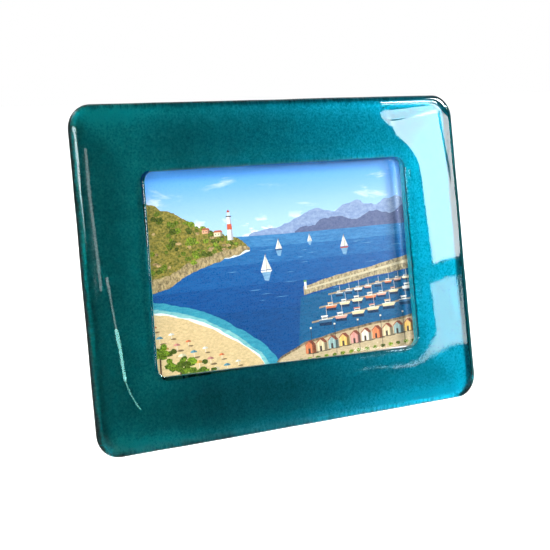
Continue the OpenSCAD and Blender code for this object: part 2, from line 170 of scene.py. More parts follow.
# How far the corners of the window and of the rim lie off the true rectangle, as on a slab slumped by hand:
# lower left, lower right, upper left, upper right
WINDOW_SHIFT = [(-2.0 * MM, 1.6 * MM), (-1.4 * MM, -1.1 * MM), (0.6 * MM, -0.1 * MM), (-0.6 * MM, 0.6 * MM)]
RIM_SHIFT = [(-0.1 * MM, 0.0), (0.0, 0.3 * MM), (0.6 * MM, 0.0), (0.0, 0.0)]
# The radius of the corners of the rings across the bar, as (share, radius)
RING_CORNERS = [(0.0, 11 * MM), (0.3, 13.5 * MM), (0.62, 17 * MM), (0.88, 13 * MM), (1.0, WINDOW_CORNER_R)]
WAVE_LENGTH = 34 * MM
WAVE_DEPTH = 0.22 * MM
SWELL_SHARE = 0.0025
RIPPLE_LENGTH = 12 * MM
RIPPLE_DEPTH = 0.07 * MM
# The seed of the waves' noise, which Blender would take from the clock
WAVE_SEED = 1795981158
# The layers of the noise that the swell and the ripple are read from, apart from the wave's own
SWELL_LAYER = 4 * WAVE_LENGTH
RIPPLE_LAYER = 9 * WAVE_LENGTH


def corner_shift(shifts, x, y):
    """The shift at a place between four shifted corners, which lie at 1 and -1."""
    low_left, low_right, high_left, high_right = (Vector(shift) for shift in shifts)
    right = 0.5 + 0.5 * max(-1.0, min(1.0, x))
    high = 0.5 + 0.5 * max(-1.0, min(1.0, y))
    return low_left.lerp(low_right, right).lerp(high_left.lerp(high_right, right), high)


def read_off(stops, place):
    """The value at a place on the straight lines through (place, value) stops."""
    for (a, low), (b, high) in zip(stops, stops[1:]):
        if place <= b:
            return between(low, high, (place - a) / (b - a))
    return stops[-1][1]


def hand_shift(x, y, share):
    """How far a point at a share across the bar is off the true shape in the plane."""
    inner = corner_shift(WINDOW_SHIFT, 2 * x / WINDOW_W, 2 * y / WINDOW_H) * share * share
    outer = corner_shift(RIM_SHIFT, 2 * x / GLASS_W, 2 * y / GLASS_H) * (1 - share)
    wave = noise.noise_vector(Vector((x, y, 0)) / WAVE_LENGTH)
    ripple = noise.noise_vector(Vector((x, y, RIPPLE_LAYER)) / RIPPLE_LENGTH)
    return inner + outer + wave.xy * WAVE_DEPTH + ripple.xy * RIPPLE_DEPTH


def build_glass():
    """The slumped glass surround: a loft of the bar's section round the window, with its slight waves."""
    noise.seed_set(WAVE_SEED)
    rings = []
    for share, height in bar_section():
        half_w = between(GLASS_W / 2, WINDOW_W / 2, share)
        half_h = between(GLASS_H / 2, WINDOW_H / 2, share)
        ring = []
        for point in ring_path(half_w, half_h, read_off(RING_CORNERS, share)):
            place = point + hand_shift(point.x, point.y, share)
            swell = noise.noise(Vector((point.x, point.y, SWELL_LAYER)) / WAVE_LENGTH)
            tall = height * (1 + SWELL_SHARE * swell)
            # A point that would lie below the table is moved up the slope onto it
            sunk = min(0.0, (PANEL @ Vector((place.x, place.y, tall))).z)
            ring.append(Vector((place.x, place.y - sunk / UPWARD.z, BOND_GAP + tall)))
        rings.append(ring)
    around = len(rings[0])
    faces = loft_faces(len(rings), around, closed=True)
    glass = mesh_object("glass_surround_slumped", [point for ring in rings for point in ring], faces, PANEL)
    back = len(faces) - around
    for face in glass.data.polygons[back:]:
        face.material_index = 1
        face.use_smooth = False
    for face in glass.data.polygons[WALL_START * SECTION_STEPS * around : back]:
        face.material_index = 2
    return glass


class Look:
    """The nodes of a material, or of the world, while they are made."""

    def __init__(self, name, owners=bpy.data.materials, output="OutputMaterial"):
        self.owner = owners.new(name)
        self.owner.use_nodes = True
        self.tree = self.owner.node_tree
        self.tree.nodes.clear()
        self.output = self.add(output)

    def add(self, kind, inputs=None, **settings):
        """A node with its settings; each input is a value, another node's output or that node."""
        node = self.tree.nodes.new("ShaderNode" + kind)
        for key, value in settings.items():
            setattr(node, key, value)
        for key, value in (inputs or {}).items():
            if isinstance(value, bpy.types.Node):
                value = value.outputs[0]
            if isinstance(value, bpy.types.NodeSocket):
                self.tree.links.new(value, node.inputs[key])
            else:
                node.inputs[key].default_value = value
        return node

    def place(self, scale=None):
        """The piece's own coordinates, stretched by scale."""
        where = self.add("TexCoord").outputs["Object"]
        if scale is None:
            return where
        return self.add("Mapping", {"Vector": where, "Scale": scale}).outputs["Vector"]

    def noise(self, size, detail=2.0, rough=0.5, where=None, warp=0.0):
        """Soft noise whose features are about size metres across."""
        inputs = {
            "Vector": where or self.place(),
            "Scale": 1 / size,
            "Detail": detail,
            "Roughness": rough,
            "Distortion": warp,
        }
        return self.add("TexNoise", inputs).outputs["Fac"]

    def cells(self, size, feature="F1"):
        """Distance to the nearest of scattered points, size metres apart."""
        inputs = {"Vector": self.place(), "Scale": 1 / size, "Randomness": 1.0}
        return self.add("TexVoronoi", inputs, feature=feature).outputs["Distance"]

    def math(self, operation, a, b=0.0, c=0.0):
        """One sum, product or comparison of two or three values."""
        return self.add("Math", {0: a, 1: b, 2: c}, operation=operation).outputs[0]

    def product(self, a, b):
        """The product of two values."""
        return self.math("MULTIPLY", a, b)

    def mixed(self, share, a, b):
        """The value a share of the way from a to b."""
        return self.add("Mix", {0: share, 2: a, 3: b}, data_type="FLOAT").outputs[0]

    def fade(self, value, low, high, to_low=0.0, to_high=1.0):
        """value taken smoothly from one range to another."""
        inputs = {"Value": value, "From Min": low, "From Max": high, "To Min": to_low, "To Max": to_high}
        return self.add("MapRange", inputs, interpolation_type="SMOOTHSTEP").outputs["Result"]

    def blend(self, share, a, b, mode="MIX"):
        """Two colours mixed by a share."""
        return self.add("Mix", {0: share, 6: a, 7: b}, data_type="RGBA", blend_type=mode).outputs[2]

    def shades(self, grain, dark, light, low=0.3, high=0.7):
        """A colour from dark, where a grain is below low, to light, where it is above high."""
        return self.blend(self.fade(grain, low, high), dark, light)

    def ramp(self, value, stops):
        """A value read off a soft curve through (place, level) stops."""
        node = self.add("ValToRGB", {"Fac": value})
        node.color_ramp.interpolation = "B_SPLINE"
        elements = node.color_ramp.elements
        while len(elements) < len(stops):
            elements.new(1.0)
        for element, (place, level) in zip(elements, stops):
            element.position = place
            element.color = (level, level, level, 1.0)
        return self.add("RGBToBW", {"Color": node}).outputs[0]

    def tinted(self, colour, level):
        """A colour multiplied by a level."""
        return self.add("VectorMath", {0: colour, "Scale": level}, operation="SCALE").outputs[0]

    def bump(self, height, depth, strength=1.0, under=None):
        """A normal bent by a height that stands for depth metres."""
        inputs = {"Height": height, "Distance": depth, "Strength": strength}
        if under is not None:
            inputs["Normal"] = under
        return self.add("Bump", inputs).outputs["Normal"]

    def finish(self, shader, socket="Surface"):
        """Joins a shader to the output and gives the material."""
        self.tree.links.new(shader.outputs[0], self.output.inputs[socket])
        return self.owner

    def surface(self, colour, roughness, normal=None, **more):
        """The material, with one Principled surface; more of its inputs are named with _ for each space."""
        inputs = {"Base Color": colour, "Roughness": roughness}
        inputs.update((name.replace("_", " "), value) for name, value in more.items())
        if normal is not None:
            inputs["Normal"] = normal
        return self.finish(self.add("BsdfPrincipled", inputs))


GLASS_IOR = 1.5
# How strongly the teal glass takes red, green and blue light, for each metre of glass
GLASS_TAKES = (720.0, 96.0, 71.0)
# How much of the light passes the glass's low outer walls: a painted shade that darkens them into a dark
# outline
WALL_SHADE_CLEAR = 0.45
WALL_TOP = 3.4 * MM
FACE_LOW = 4.8 * MM
# The fine hammering of the face: its size and depth, and where it fades in the picture's plane
HAMMER_SIZE = 0.9 * MM
HAMMER_DEPTH = 0.003 * MM
HAMMER_UPWARD = (-12 * MM, 20 * MM)
HAMMER_ACROSS = (-40 * MM, 60 * MM)


def beyond(look, value, half):
    """How far a place lies outside the window, whose half width or height is half."""
    return look.math("SUBTRACT", look.math("ABSOLUTE", value), half)


def teal_glass():
    """Thick teal glass, smooth where it was fire-polished most and finely hammered lower down."""
    look = Look("teal_glass")
    parts = look.add("SeparateXYZ", {0: look.place()}).outputs
    low = look.fade(parts["Y"], *HAMMER_UPWARD, 1.0, 0.06)
    grainy = look.product(low, look.fade(parts["X"], *HAMMER_ACROSS, 0.12, 1.0))
    face = look.bump(look.cells(HAMMER_SIZE, "SMOOTH_F1"), HAMMER_DEPTH, grainy)
    out_across = beyond(look, parts["X"], WINDOW_W / 2)
    out_upward = beyond(look, parts["Y"], WINDOW_H / 2)
    out = look.math("MAXIMUM", out_across, out_upward)
    by_window = look.fade(out, BAR_TOP / 3, BAR_TOP / 2, 1.0, 0.0)
    # Painted shade: the glass is darkened below FACE_LOW away from the window, drawing a dark outline at its
    # walls
    outline_shading = look.fade(parts["Z"], WALL_TOP, FACE_LOW, WALL_SHADE_CLEAR, 1.0)
    outline_shading = look.math("MAXIMUM", outline_shading, by_window)
    body = look.add(
        "BsdfPrincipled",
        {
            "Base Color": look.tinted((1.0, 1.0, 1.0), outline_shading),
            "Roughness": 0.0,
            "IOR": GLASS_IOR,
            "Transmission Weight": 1.0,
            "Normal": face,
        },
    )
    # Light on its way to the print goes straight through the glass, and its volume is left out too, so
    # nothing tints it
    path = look.add("LightPath").outputs
    outside = look.math("LESS_THAN", path["Transmission Depth"], 0.5)
    straight = look.product(path["Is Shadow Ray"], outside)
    clear = look.add("BsdfTransparent", {"Color": WHITE})
    look.finish(look.add("MixShader", {0: straight, 1: body, 2: clear}))
    density = max(GLASS_TAKES)
    colour = [1 - part / density for part in GLASS_TAKES]
    volume = look.add("VolumeAbsorption", {"Color": (*colour, 1.0), "Density": density})
    return look.finish(look.add("MixShader", {0: straight, 1: volume}), "Volume")


def window_wall():
    """The window's fire-polished wall, on which the lacquered leaf is turned up."""
    look = Look("window_wall")
    crease = look.noise(1.6 * MM, 4, 0.6)
    shade = look.shades(crease, (0.002, 0.20, 0.27, 1), (0.004, 0.34, 0.44, 1))
    face = look.bump(crease, 0.06 * MM, 0.4)
    return look.surface(shade, 0.22, face, Coat_Weight=0.6, Coat_Roughness=0.05)


def bonded_back():
    """The glass's back, where the lacquer of the leaf leaves no gap that could mirror."""
    look = Look("bonded_back")
    return look.finish(look.add("BsdfTransparent", {"Color": WHITE}))


# How bright each bar's leaf is painted, from the rim of the glass (0) to the window (1): painted light and
# shade
TOP_PAINTED_LIGHT = [
    (0.0, 0.02), (0.03, 0.12), (0.07, 0.48), (0.13, 0.65), (0.20, 0.59),
    (0.33, 0.44), (0.55, 0.39), (0.78, 0.43), (0.95, 0.50),
]
BOTTOM_PAINTED_LIGHT = [
    (0.0, 0.0), (0.045, 0.02), (0.07, 0.50), (0.13, 0.62), (0.20, 0.50),
    (0.33, 0.31), (0.55, 0.25), (0.78, 0.29), (0.95, 0.38),
]
LEFT_PAINTED_LIGHT = [
    (0.0, 0.04), (0.04, 0.08), (0.08, 0.12), (0.13, 0.32), (0.20, 0.60),
    (0.35, 0.57), (0.55, 0.53), (0.75, 0.72), (0.95, 0.88),
]
RIGHT_PAINTED_LIGHT = [
    (0.0, 0.35), (0.04, 0.65), (0.08, 0.95), (0.14, 1.25), (0.30, 1.30),
    (0.60, 1.25), (0.80, 0.90), (0.90, 0.68), (1.0, 0.90),
]
# How much brighter the leaf's painted light is above and below the window at the left, at the right and low
# at the right
LEFT_LIGHT_GAIN = 2.1
RIGHT_LIGHT_GAIN = 0.42
LOW_RIGHT_LIGHT_GAIN = 0.88
# Between which places, across and upward from the frame's middle, its painted light changes
LEFT_FADE = (-90 * MM, -45 * MM)
RIGHT_RISE = (-15 * MM, 85 * MM)
LOW_FADE = (-60 * MM, 25 * MM)
MIDDLE_BLEND = (-20 * MM, 20 * MM)
CORNER_BLEND = 0.25
CORNER_ROUND = 0.6
# Between which places, across, its dim specks change, and its painted tint of the light turns from green to
# blue
SPECKS_FADE = (-60 * MM, 40 * MM)
PAINTED_GREEN_FADE = (-40 * MM, 40 * MM)
PAINTED_BLUE_RISE = (-95 * MM, -10 * MM)
LEAF_CREASE = 0.12 * MM


def panel_place(look):
    """Where a point of the world lies in the picture's plane: across from the middle, and upward."""
    offset = look.add("VectorMath", {0: look.place(), 1: PANEL_ORIGIN}, operation="SUBTRACT")
    for axis in (ACROSS, UPWARD):
        yield look.add("VectorMath", {0: offset, 1: axis}, operation="DOT_PRODUCT").outputs["Value"]


def leaf_painted_light(look, across, upward):
    """Painted light and shade on the leaf: its brightness by its place across the bar and from one side of
    the frame to the other.
    """
    side = look.math("DIVIDE", beyond(look, across, WINDOW_W / 2), BAR_SIDE)
    top = look.math("DIVIDE", beyond(look, upward, WINDOW_H / 2), BAR_TOP)
    share = look.math("SUBTRACT", 1.0, look.math("SMOOTH_MAX", side, top, CORNER_ROUND))
    beside = look.fade(look.math("SUBTRACT", side, top), -CORNER_BLEND, CORNER_BLEND)
    left = look.fade(across, *LEFT_FADE, LEFT_LIGHT_GAIN, 1.0)
    right = look.fade(across, *RIGHT_RISE)
    low = look.fade(upward, *LOW_FADE, LOW_RIGHT_LIGHT_GAIN + RIGHT_LIGHT_GAIN, RIGHT_LIGHT_GAIN)
    gain = look.math("MULTIPLY_ADD", right, low, left)
    to_right = look.fade(across, *MIDDLE_BLEND)
    sides = look.mixed(to_right, look.ramp(share, LEFT_PAINTED_LIGHT), look.ramp(share, RIGHT_PAINTED_LIGHT))
    to_top = look.fade(upward, *MIDDLE_BLEND)
    level = look.mixed(to_top, look.ramp(share, BOTTOM_PAINTED_LIGHT), look.ramp(share, TOP_PAINTED_LIGHT))
    return look.mixed(beside, look.product(level, gain), sides)


def metal_leaf():
    """Metal leaf pressed on the finely hammered back of the glass, with painted light and shade in its colour
    and a painted tint of the light, warmer at the left than at the right.
    """
    look = Look("metal_leaf_hammered")
    across, upward = panel_place(look)
    speckle = look.fade(look.noise(1.1 * MM, 5, 0.75), 0.3, 0.7)
    fine = look.mixed(speckle, look.fade(across, *SPECKS_FADE, 0.64, 0.54), 1.28)
    patch = look.fade(look.noise(9.0 * MM, 2), 0.3, 0.7, 0.93, 1.05)
    # Painted light and shade by place, times the leaf's own speckled grain and patches
    level = look.product(leaf_painted_light(look, across, upward), look.product(fine, patch))
    # A painted tint of the light: greener and warmer at the left, bluer at the right
    green = look.fade(across, *PAINTED_GREEN_FADE, 1.0, 0.90)
    blue = look.fade(across, *PAINTED_BLUE_RISE, 0.82, 1.0)
    tint = look.add("CombineXYZ", {"X": 0.97, "Y": green, "Z": blue}).outputs[0]
    shade = look.tinted(tint, look.math("MINIMUM", level, 1.0))
    face = look.bump(look.cells(0.8 * MM, "SMOOTH_F1"), LEAF_CREASE, 0.25)
    face = look.bump(look.noise(1.6 * MM, 4, 0.6), LEAF_CREASE, 0.25, face)
    drawn = look.add("CombineXYZ", dict(zip("XYZ", UPWARD)))
    return look.surface(shade, 0.39, face, Metallic=1.0, Anisotropic=0.7, Tangent=drawn)


def clear_pane_glass():
    """Clear float glass over the print."""
    look = Look("clear_float_glass")
    fresnel = look.add("Fresnel", {"IOR": GLASS_IOR})
    inner = look.add("NewGeometry").outputs["Backfacing"]
    mirrored = look.product(fresnel, look.math("SUBTRACT", 1.0, inner))
    clear = look.add("BsdfTransparent", {"Color": (0.985, 0.995, 0.99, 1)})
    haze = look.fade(look.noise(30 * MM, 3), 0.2, 0.8, 0.015, 0.03)
    gloss = look.add("BsdfGlossy", {"Color": WHITE, "Roughness": haze})
    return look.finish(look.add("MixShader", {0: mirrored, 1: clear, 2: gloss}))


def felt():
    """Black felt: short matted fibres."""
    look = Look("black_felt")
    fibre = look.noise(0.35 * MM, 5, 0.75)
    shade = look.shades(fibre, (0.010, 0.010, 0.012, 1), (0.040, 0.040, 0.046, 1))
    face = look.bump(look.noise(2.5 * MM, 3), 0.2 * MM, 0.4, look.bump(fibre, 0.12 * MM, 0.8))
    return look.surface(shade, 0.95, face, Specular_IOR_Level=0.2, Sheen_Weight=0.35, Sheen_Roughness=0.5)


def velvet():
    """Black velvet whose nap lies a little differently from patch to patch."""
    look = Look("black_velvet")
    nap = look.noise(9 * MM, 3, 0.55)
    fibre = look.noise(0.25 * MM, 4, 0.7)
    shade = look.shades(nap, (0.008, 0.008, 0.010, 1), (0.020, 0.020, 0.025, 1), 0.35, 0.65)
    shade = look.shades(fibre, shade, (0.030, 0.030, 0.036, 1))
    face = look.bump(nap, 0.3 * MM, 0.35, look.bump(fibre, 0.08 * MM, 0.7))
    sheen = {"Sheen_Weight": 0.7, "Sheen_Roughness": 0.35, "Sheen_Tint": (0.75, 0.78, 0.9, 1)}
    return look.surface(shade, 0.85, face, Specular_IOR_Level=0.15, **sheen)


# How far the grain of wood is drawn out along a strip
GRAIN_STRETCH = 0.06


def stained_wood(name, stretch):
    """Black-stained pine, with its grain drawn out along the strip."""
    look = Look(name)
    stretched = look.place(stretch)
    rings = look.noise(1.1 * MM, 4, 0.6, stretched)
    pores = look.noise(0.25 * MM, 3, 0.6, stretched)
    shade = look.shades(rings, (0.012, 0.012, 0.013, 1), (0.045, 0.042, 0.040, 1), 0.35, 0.65)
    shade = look.shades(pores, shade, (0.006, 0.006, 0.006, 1), 0.55, 0.75)
    face = look.bump(pores, 0.06 * MM, 0.5, look.bump(rings, 0.08 * MM, 0.4))
    return look.surface(shade, look.fade(rings, 0.3, 0.7, 0.42, 0.60), face)


def fibreboard(name, dark, light):
    """Pressed board of short fibres."""
    look = Look(name)
    fibre = look.noise(0.5 * MM, 5, 0.7, look.place((0.6, 1.0, 1.4)))
    cloud = look.fade(look.noise(6 * MM, 2), 0.3, 0.8, 0.0, 0.35)
    shade = look.blend(cloud, look.shades(fibre, dark, light), dark)
    return look.surface(shade, 0.82, look.bump(fibre, 0.08 * MM, 0.7))


def nickel(name, warm, roughness):
    """Nickel plate over stamped steel, with rubbed marks."""
    look = Look(name)
    rub = look.noise(0.35 * MM, 4, 0.6, look.place((0.25, 1.0, 1.0)))
    bright = (0.80, 0.78 - 0.02 * warm, 0.74 - 0.05 * warm, 1)
    dull = (0.66, 0.63 - 0.02 * warm, 0.58 - 0.05 * warm, 1)
    shade = look.shades(look.noise(4 * MM, 3), dull, bright)
    rough = look.fade(rub, 0.3, 0.7, roughness - 0.06, roughness + 0.08)
    return look.surface(shade, rough, look.bump(rub, 0.02 * MM, 0.4), Metallic=1.0)


def staple_wire():
    """Drawn steel wire."""
    look = Look("staple_wire")
    drawn = look.noise(0.15 * MM, 3, 0.6)
    shade = look.shades(drawn, (0.50, 0.50, 0.49, 1), (0.72, 0.72, 0.70, 1))
    return look.surface(shade, 0.36, look.bump(drawn, 0.02 * MM, 0.4), Metallic=1.0)


def adhesive():
    """Off-white bonding tape, seen as a thin line at the strips' edges."""
    look = Look("bonding_tape")
    foam = look.cells(0.3 * MM)
    shade = look.shades(foam, (0.62, 0.60, 0.52, 1), (0.84, 0.82, 0.75, 1), 0.0, 0.5)
    return look.surface(shade, 0.6, look.bump(foam, 0.05 * MM, 0.6))


def ribbon_weave():
    """Black satin ribbon, woven finely across its width."""
    look = Look("ribbon_weave")
    threads = {"Vector": look.place(), "Scale": 1 / (0.9 * MM), "Distortion": 0.4}
    weft = look.add("TexWave", threads, wave_type="BANDS", bands_direction="Z").outputs["Fac"]
    sheen = look.noise(0.3 * MM, 3, 0.6, look.place((1.0, 0.3, 0.3)))
    shade = look.blend(weft, (0.008, 0.008, 0.010, 1), (0.035, 0.035, 0.040, 1))
    face = look.bump(weft, 0.05 * MM, 0.6, look.bump(sheen, 0.03 * MM, 0.5))
    return look.surface(shade, look.fade(sheen, 0.3, 0.7, 0.45, 0.62), face, Sheen_Weight=0.4)


def dress(material, edge, *nodes):
    """Gives CAD nodes' objects one material, and softens their sharp edges by a small bevel."""
    for node in nodes:
        piece = frame["nodes"][node]
        piece.data.materials.clear()
        piece.data.materials.append(material)
        if edge > 0:
            bevel = piece.modifiers.new("soft_edges", "BEVEL")
            bevel.width = edge
            bevel.segments = 2
            bevel.limit_method = "ANGLE"
            bevel.angle_limit = math.radians(40)


# The print: a generic harbour view, in millimetres from the sheet's lower left corner
PRINT_W = 152.0
PRINT_H = 102.0
PRINT_T = 0.3 * MM
PRINT_GAP = 0.03 * MM
HORIZON = 65.5
PICTURE_SEED = 11


def ink(red, green, blue):
    """A printed colour, given as it looks on screen, as light."""
    parts = [part / 255 for part in (red, green, blue)]
    return tuple(part / 12.92 if part <= 0.04045 else ((part + 0.055) / 1.055) ** 2.4 for part in parts)


# Each kind of surface in the picture: its grain's size and stretch, and the grain's two tones
PICTURE_KINDS = {
    "plain": (0.5, (1, 1, 1), (0.88, 0.88, 0.90), (1.05, 1.05, 1.04)),
    "haze": (2.4, (1, 1.6, 1), (0.72, 0.76, 0.84), (1.18, 1.12, 1.02)),
    "sea": (1.6, (0.35, 1.6, 1), (0.70, 0.80, 0.86), (1.5, 1.22, 1.12)),
    "scrub": (1.3, (1, 1.2, 1), (0.28, 0.42, 0.22), (1.55, 1.35, 1.1)),
    "rock": (1.5, (1.5, 0.8, 1), (0.25, 0.24, 0.22), (1.35, 1.3, 1.2)),
    "foliage": (0.8, (1, 1, 1), (0.14, 0.22, 0.12), (1.9, 1.75, 1.0)),
    "sand": (0.9, (0.6, 1.4, 1), (0.80, 0.78, 0.74), (1.1, 1.1, 1.08)),
}


def paper(look, colour):
    """The gloss of photo paper over a printed colour."""
    sheen = look.fade(look.noise(0.6 * MM, 2), 0.3, 0.7, 0.26, 0.34)
    return look.surface(colour, sheen, Specular_IOR_Level=0.35)


def picture_ink(kind, size, stretch, dark, light):
    """Glossy photo paper with one kind of printed surface: a face's own tint under a grain."""
    look = Look("print_" + kind)
    tint = look.add("VertexColor", layer_name="tint").outputs["Color"]
    grain = look.noise(size * MM, 5, 0.68, look.place(stretch))
    return paper(look, look.blend(1.0, tint, look.shades(grain, (*dark, 1), (*light, 1)), "MULTIPLY"))


# Heights over the horizon in the printed sky: where thin clouds start and where low ones end
THIN_CLOUDS = (3 * MM, 18 * MM)
LOW_CLOUDS = (12 * MM, 4 * MM)


def picture_sky():
    """Printed sky: azure above, paler towards the horizon, with thin clouds."""
    look = Look("print_sky")
    height = look.add("SeparateXYZ", {0: look.place()}).outputs["Y"]
    height = look.math("SUBTRACT", height, (HORIZON - PRINT_H / 2) * MM)
    pale = (*ink(174, 210, 247), 1)
    azure = (*ink(74, 161, 246), 1)
    base = look.shades(height, pale, azure, 0.0, (PRINT_H - HORIZON) * MM)
    wisp = look.noise(17 * MM, 6, 0.62, look.place((0.45, 1.7, 1)), 0.4)
    thin = look.product(look.fade(wisp, 0.56, 0.74), look.fade(height, *THIN_CLOUDS))
    puff = look.noise(6.5 * MM, 5, 0.6, look.place((0.7, 1.5, 1)))
    heap = look.product(look.fade(puff, 0.52, 0.62), look.fade(height, *LOW_CLOUDS))
    cloud = look.math("MINIMUM", look.math("MULTIPLY_ADD", thin, 0.7, heap), 0.92)
    return paper(look, look.blend(cloud, base, (*ink(247, 248, 253), 1)))


def toned(tint, factor):
    """A tint made lighter or darker."""
    return tuple(min(255, part * factor) for part in tint)


class Picture:
    """A flat picture of overlapping shapes, each over the ones before it."""

    def __init__(self, seed):
        self.shapes = []
        self.chance = random.Random(seed)
        self.add("sky", [(0, 0), (PRINT_W, 0), (PRINT_W, PRINT_H), (0, PRINT_H)], (255, 255, 255))

    def add(self, kind, points, tint):
        """A shape of one kind with its tint as it looks on screen."""
        turned = sum(a[0] * b[1] - b[0] * a[1] for a, b in zip(points, points[1:] + points[:1]))
        if turned < 0:
            points = points[::-1]
        self.shapes.append((kind, points, ink(*tint)))

    def part(self, x, y, w, h, shares, tint, kind="plain"):
        """A shape whose corners lie at shares of w and h from (x, y)."""
        self.add(kind, [(x + w * across, y + h * up) for across, up in shares], tint)

    def block(self, x, y, w, h, tint):
        """An upright rectangle that stands on (x, y), its lower left."""
        self.add("plain", [(x, y), (x + w, y), (x + w, y + h), (x, y + h)], tint)

    def varied(self, tint, spread):
        """A tint a little lighter or darker."""
        return toned(tint, self.chance.uniform(1 - spread, 1 + spread))

    def ragged(self, points, depth=0.12):
        """A line broken up into smaller and smaller steps, like a ridge or a shore."""
        for _ in range(3):
            finer = [points[0]]
            for a, b in zip(points, points[1:]):
                reach = math.dist(a, b) * depth
                x = (a[0] + b[0]) / 2 + self.chance.uniform(-reach, reach)
                y = (a[1] + b[1]) / 2 + self.chance.uniform(-reach, reach)
                finer += [(x, y), b]
            points = finer
        return points

    def tuft(self, x, y, rx, ry, tint, kind="foliage", corners=11):
        """An uneven round shape, such as a bush or the crown of a tree."""
        points = []
        for i in range(corners):
            angle = 2 * math.pi * i / corners
            reach = self.chance.uniform(0.72, 1.15)
            points.append((x + rx * reach * math.cos(angle), y + ry * reach * math.sin(angle)))
        self.add(kind, points, tint)

    def line(self, x1, y1, x2, y2, width, tint):
        """A thin straight stroke."""
        run = math.dist((x1, y1), (x2, y2))
        dx = (y2 - y1) / run * width / 2
        dy = (x1 - x2) / run * width / 2
        ends = ((x1, y1, 1), (x2, y2, 1), (x2, y2, -1), (x1, y1, -1))
        self.add("plain", [(x + side * dx, y + side * dy) for x, y, side in ends], tint)


def draw_far_shore(view):
    """Hazy ridges beyond the bay."""
    farther = [(58, 66), (70, 68.5), (84, 72), (97, 76.5), (108, 74)]
    farther += [(121, 79), (134, 76), (146, 80), (156, 78)]
    nearer = [(84, 65.8), (96, 68), (108, 71.5), (118, 69.5), (129, 73), (141, 71), (156, 75)]
    for crest, tint in ((farther, (142, 164, 205)), (nearer, (96, 108, 150))):
        view.add("haze", view.ragged(crest) + [(156, 64), (crest[0][0], 64)], tint)


def draw_sea(view):
    """The sea, darker towards the viewer, with paler streaks."""
    bands = ((60, (34, 106, 170)), (52, (18, 90, 158)), (42, (10, 78, 146)), (30, (8, 74, 138)))
    for top, tint in ((HORIZON, (58, 128, 186)), *bands):
        edge = view.ragged([(0, top), (40, top + 0.2), (90, top - 0.3), (PRINT_W, top)], 0.004)
        view.add("sea", edge + [(PRINT_W, -1), (0, -1)], tint)
    for _ in range(26):
        x = view.chance.uniform(40, 150)
        y = view.chance.uniform(32, 63)
        long = view.chance.uniform(3, 10)
        view.part(x, y, long, 1, ((0, 0), (0.5, -0.18), (1, 0), (0.5, 0.16)), (88, 150, 196), "sea")


def draw_headland(view):
    """A wooded headland on the left."""
    crest = [(-2, 85), (6, 84), (13, 80.5), (21, 78), (28, 73.5)]
    crest = view.ragged(crest + [(36, 70.5), (44, 67.2), (50, 65.8), (56, 62)])
    shore = [(58, 58.8), (52, 57), (44, 56.2), (36, 53.4), (27, 51), (18, 47), (8, 43.5), (-2, 40)]
    foam = [(x, y - 0.4) for x, y in shore]
    shore = view.ragged(shore)
    view.add("scrub", crest + shore, (136, 128, 66))
    cliff = [(-2, 45.5), (9, 49.5), (18, 52), (28, 56), (37, 58), (45, 60), (52, 61.2), (58, 60)]
    view.add("rock", view.ragged(cliff) + shore, (178, 160, 122))
    for _ in range(95):
        along = view.chance.random() ** 0.8
        y = view.chance.uniform(47 + 15 * along, 84.5 - 20 * along)
        size = view.chance.uniform(0.9, 2.3) * (1.15 - 0.5 * along)
        view.tuft(52 * along - 1, y, size, size * 0.75, view.varied((92, 112, 40), 0.3))
    for _ in range(16):
        along = view.chance.random()
        y = view.chance.uniform(50 + 11 * along, 80 - 17 * along)
        size = view.chance.uniform(0.8, 2.0)
        view.tuft(48 * along, y, size, 0.7, view.varied((188, 160, 118), 0.15), "rock", 8)
    view.add("plain", shore + view.ragged(foam, 0.05)[::-1], (224, 236, 240))


def draw_cottage(view, x, y, w, h, wall, roof):
    """A small house with a lit front, a shaded end, a pitched roof and its windows."""
    view.block(x, y, w, h, wall)
    view.block(x + w, y, w * 0.35, h, toned(wall, 0.62))
    view.part(x, y, w, h, ((-0.15 / w, 1), (1.38, 1), (1.18, 1.5), (0.1, 1.5)), roof)
    count = max(1, int(w / 1.5))
    for i in range(count):
        view.block(x + w * (i + 0.35) / count, y + h * 0.38, 0.38, 0.62, (70, 66, 70))


def draw_lighthouse(view, x, y):
    """A white tower with a band, a gallery and a lantern."""
    view.part(x, y, 1, 1, ((-1.6, 0), (1.6, 0), (1.05, 11), (-1.05, 11)), (244, 240, 232))
    view.part(x, y, 1, 1, ((0.5, 0), (1.6, 0), (1.05, 11), (0.4, 11)), (176, 178, 190))
    view.part(x, y, 1, 1, ((-1.36, 5), (1.36, 5), (1.22, 7.6), (-1.22, 7.6)), (205, 92, 58))
    view.block(x - 1.5, y + 11, 3.0, 0.5, (70, 66, 66))
    view.block(x - 0.75, y + 11.5, 1.5, 1.7, (210, 226, 232))
    view.part(x, y, 1, 1, ((-1.0, 13.2), (1.0, 13.2), (0, 14.6)), (188, 80, 52))


def draw_sailboat(view, x, y, tall, hull):
    """A sailing boat with a mainsail, a jib and its pale reflection."""
    mirrored = ((-0.3, 0), (0.3, 0), (0.1, -0.5), (-0.15, -0.45))
    view.part(x, y, tall, tall, mirrored, (120, 168, 204), "sea")
    view.part(x, y, tall, tall, ((-0.34, 0), (0.26, 0), (0.4, 0.1), (-0.36, 0.1)), hull)
    view.part(x, y, tall, tall, ((0.1 / tall, 0.14), (-0.34, 0.14), (0.1 / tall, 1)), (250, 248, 240))
    view.part(x, y, tall, tall, ((0.25 / tall, 0.14), (0.34, 0.14), (0.25 / tall, 0.86)), (226, 222, 214))
    view.line(x + 0.15, y + 0.1, x + 0.15, y + tall * 1.04, 0.22, (120, 96, 72))


